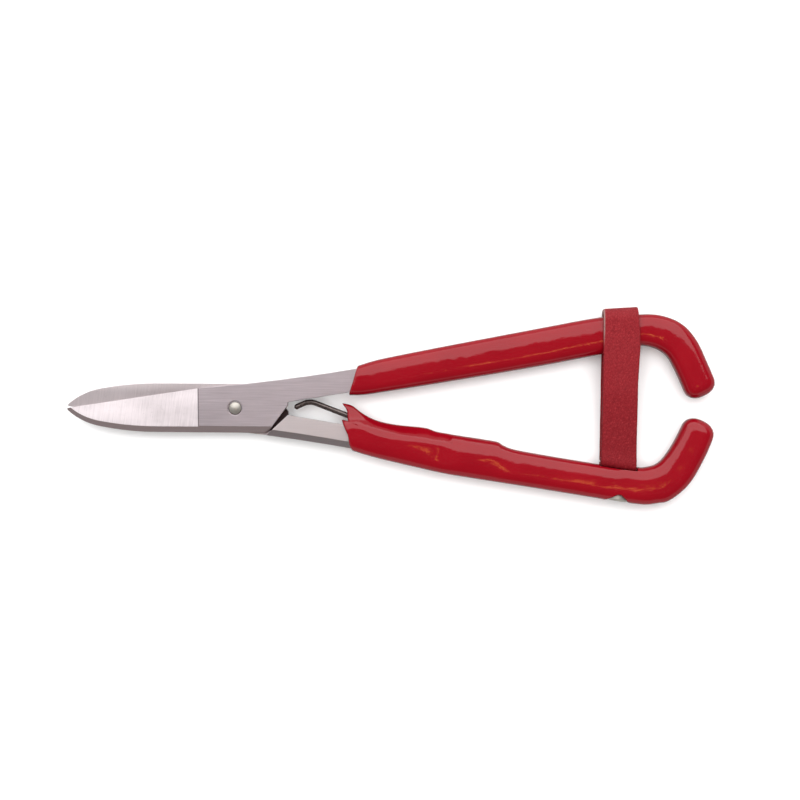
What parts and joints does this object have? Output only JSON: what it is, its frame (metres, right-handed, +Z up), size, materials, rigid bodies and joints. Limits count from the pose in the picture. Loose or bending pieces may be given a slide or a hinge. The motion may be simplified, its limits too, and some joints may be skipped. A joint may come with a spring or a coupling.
{
  "type": "straight-blade bench shears",
  "caption": "Slim sheet-metal shears with straight riveted blades, dipped red hooked handles, a wire return spring and a red leather loop that keeps the handles shut.",
  "frame": {"origin": "bottom centre of the bounding box, on the surface that the shears lie on", "axes": "+X from the blade tips towards the handle hooks, +Y from the lower handle to the upper one, +Z up, along the pivot"},
  "size_m": [0.1799, 0.0547, 0.0108],
  "materials": {
    "steel": "satin",
    "rivet": "satin",
    "grip": "gloss",
    "spring_wire": "satin",
    "leather": "satin"
  },
  "bodies": {
    "lower": {"rear_half": "steel", "lower_grip": "grip", "pivot_rivet": "rivet", "spring_foot": "spring_wire", "strap_rivet": "rivet", "strap_burr": "rivet"},
    "upper": {"front_half": "steel", "upper_grip": "grip"},
    "spring": {"spring_arm": "spring_wire"},
    "loop": {"strap": "leather"}
  },
  "joints": [
    {"name": "pivot", "type": "hinge", "parent": "lower", "child": "upper", "pos_m": [-0.0434, -0.0011, 0.0054], "axis": [0, 0, 1], "range_deg": [-2, 20], "deforming": ["strap"]},
    {"name": "spring_flex", "type": "hinge", "parent": "lower", "child": "spring", "pos_m": [-0.00419, -0.006, 0.0054], "axis": [0, 0, 1], "range_deg": [-24.1, 2.6]},
    {"name": "loop_swing", "type": "hinge", "parent": "lower", "child": "loop", "pos_m": [0.063, -0.01724, 0.0054], "axis": [0, 0, -1], "range_deg": [0, 62], "deforming": ["strap"]}
  ],
  "couplings": [
    {"joint": "spring_flex", "follows": "pivot", "ratio": -1.2}
  ]
}
